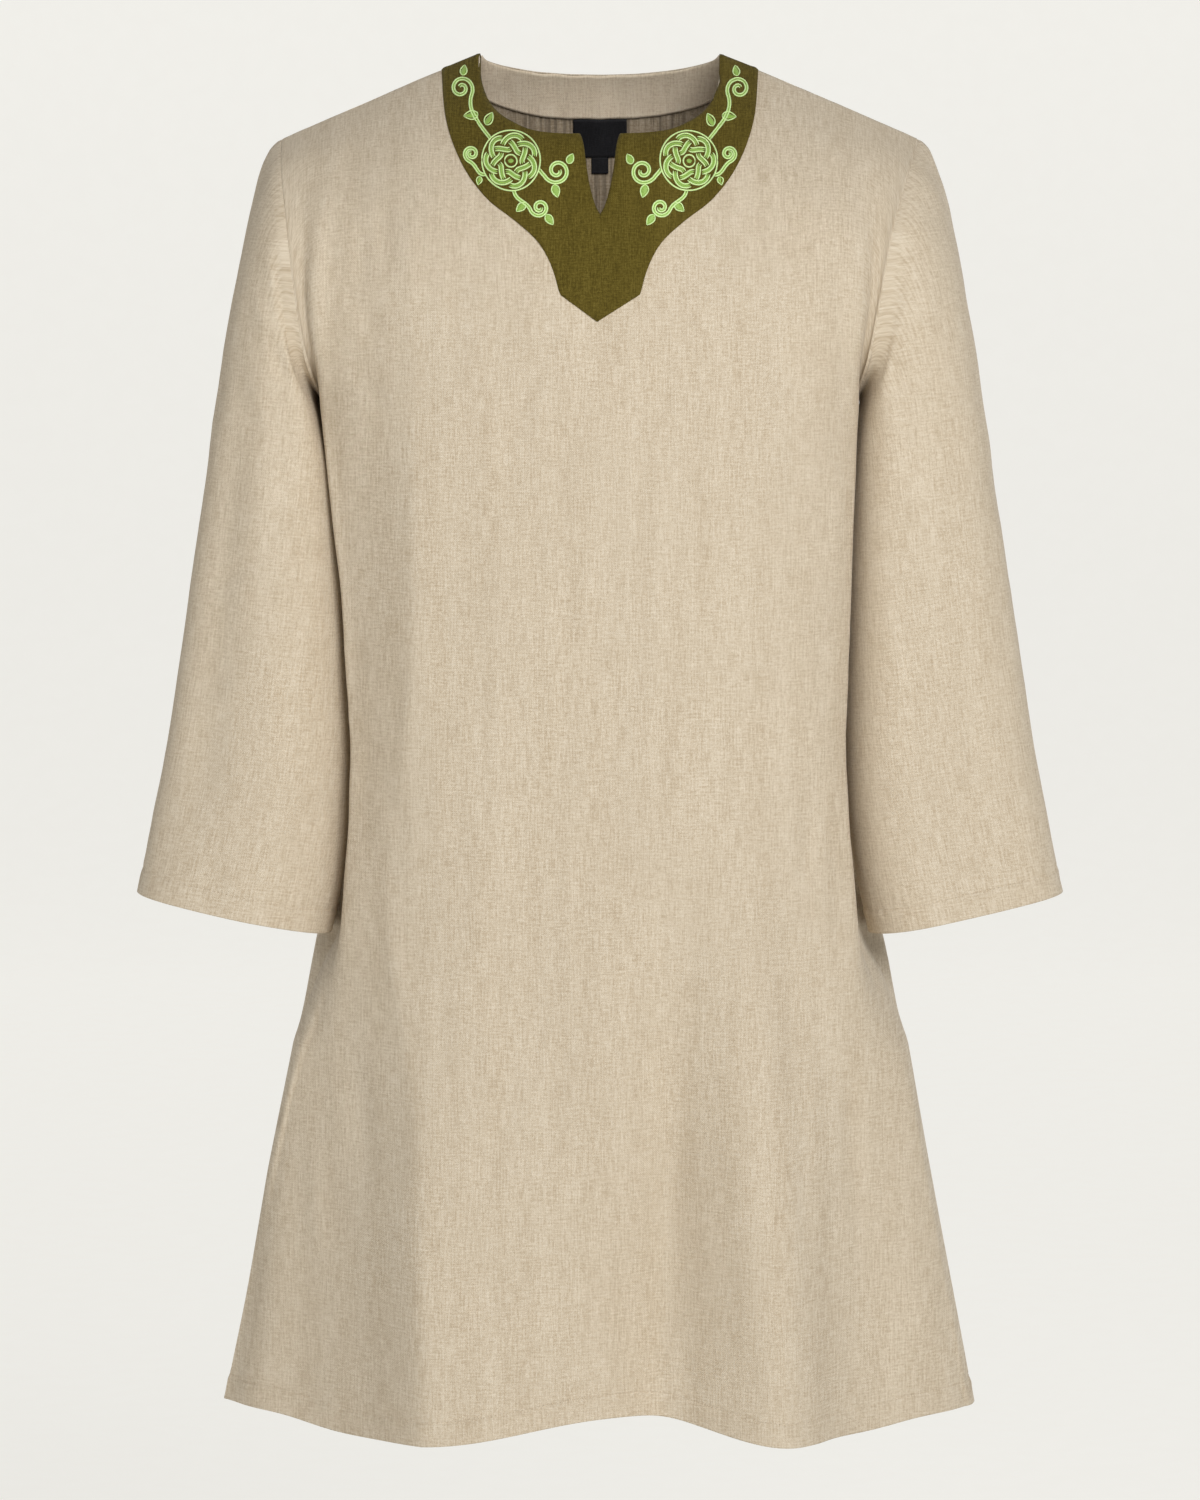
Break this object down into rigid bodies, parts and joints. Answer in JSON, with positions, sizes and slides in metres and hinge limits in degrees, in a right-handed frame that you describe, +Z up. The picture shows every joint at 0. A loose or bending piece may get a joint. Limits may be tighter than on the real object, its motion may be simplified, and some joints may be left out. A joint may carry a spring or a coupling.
{
  "type": "medieval tunic",
  "caption": "Knee-length pullover linen tunic filled out as worn, with three-quarter sleeves, a flared skirt and an embroidered shaped yoke round a slit neck.",
  "frame": {"origin": "midway between the two neck points, where the shoulder seams meet the neckline", "axes": "+Z up along the wearer's spine, -Y out of the chest, +X towards the wearer's left"},
  "size_m": [0.6654, 0.3033, 0.9826],
  "materials": {
    "linen": "plain woven natural linen, matt",
    "yoke_cloth": "plain woven olive cloth, matt",
    "embroidery": "lime green embroidery thread, soft sheen",
    "label_cloth": "black woven label, smooth"
  },
  "bodies": {
    "root": {"front": "linen", "back": "linen", "sleeve_right": "linen", "sleeve_left": "linen", "yoke": "yoke_cloth", "back_neck_facing": "linen", "neck_label": "label_cloth", "size_tab": "label_cloth"}
  },
  "joints": []
}
